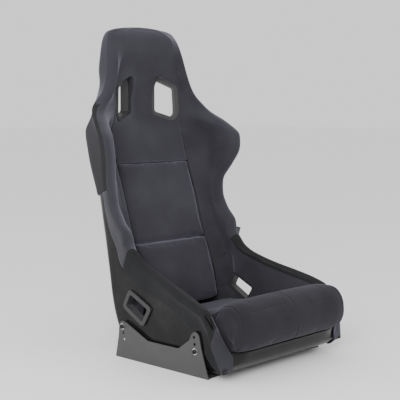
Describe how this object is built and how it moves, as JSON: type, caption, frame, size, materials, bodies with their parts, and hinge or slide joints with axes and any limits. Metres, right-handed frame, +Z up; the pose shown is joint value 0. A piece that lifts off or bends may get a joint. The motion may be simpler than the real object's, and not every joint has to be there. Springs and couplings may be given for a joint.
{
  "type": "racing bucket seat",
  "caption": "Fixed-back racing bucket seat with fabric bolsters, harness and lap-belt openings, lift-off cushions and folded steel side mounts.",
  "frame": {"origin": "middle of the seat's bounding box on the floor plane", "axes": "+X towards the occupant's left, +Y backwards, +Z up; the seat faces -Y"},
  "size_m": [0.592, 0.6594, 0.968],
  "materials": {
    "fabric": "black woven seat cloth over foam",
    "laminate": "black gloss gelcoat on fibre laminate",
    "mount_steel": "satin black powder coat",
    "bezel": "fine grain, dark grey",
    "bolt_steel": "black oxide",
    "zinc": "bright zinc plate",
    "insert_brass": "turned",
    "loop_tape": "black woven tape"
  },
  "bodies": {
    "frame": {"shell": "laminate", "upper_back_pad": "fabric", "wing_pad_left": "fabric", "torso_bolster_left": "fabric", "thigh_bolster_left": "fabric", "harness_bezel_left": "bezel", "harness_rear_ring_left": "bezel", "lap_belt_bezel_left": "bezel", "lap_belt_inner_bezel_left": "bezel", "side_mount_left": "mount_steel", "bolt_rear_left": "bolt_steel", "washer_rear_left": "zinc", "spacer_rear_left": "zinc", "insert_rear_left": "insert_brass", "bolt_front_left": "bolt_steel", "washer_front_left": "zinc", "spacer_front_left": "zinc", "insert_front_left": "insert_brass", "wing_pad_right": "fabric", "torso_bolster_right": "fabric", "thigh_bolster_right": "fabric", "harness_bezel_right": "bezel", "harness_rear_ring_right": "bezel", "lap_belt_bezel_right": "bezel", "lap_belt_inner_bezel_right": "bezel", "side_mount_right": "mount_steel", "bolt_rear_right": "bolt_steel", "washer_rear_right": "zinc", "spacer_rear_right": "zinc", "insert_rear_right": "insert_brass", "bolt_front_right": "bolt_steel", "washer_front_right": "zinc", "spacer_front_right": "zinc", "insert_front_right": "insert_brass", "seat_strip_front": "loop_tape", "seat_strip_rear": "loop_tape", "back_strip": "loop_tape", "lumbar_strip": "loop_tape", "side_tab": "loop_tape"},
    "seat_cushion_body": {"seat_cushion": "fabric"},
    "back_cushion_body": {"back_cushion": "fabric"},
    "lumbar_cushion_body": {"lumbar_cushion": "fabric"}
  },
  "joints": [
    {"name": "seat_cushion_lift", "type": "slide", "parent": "frame", "child": "seat_cushion_body", "axis": [0, -0.2599, 0.9656], "range_m": [0, 0.34]},
    {"name": "back_cushion_pull", "type": "slide", "parent": "frame", "child": "back_cushion_body", "axis": [0, -0.9703, 0.2421], "range_m": [0, 0.15]},
    {"name": "lumbar_cushion_pull", "type": "slide", "parent": "frame", "child": "lumbar_cushion_body", "axis": [0, -0.9848, 0.174], "range_m": [0, 0.12]}
  ]
}
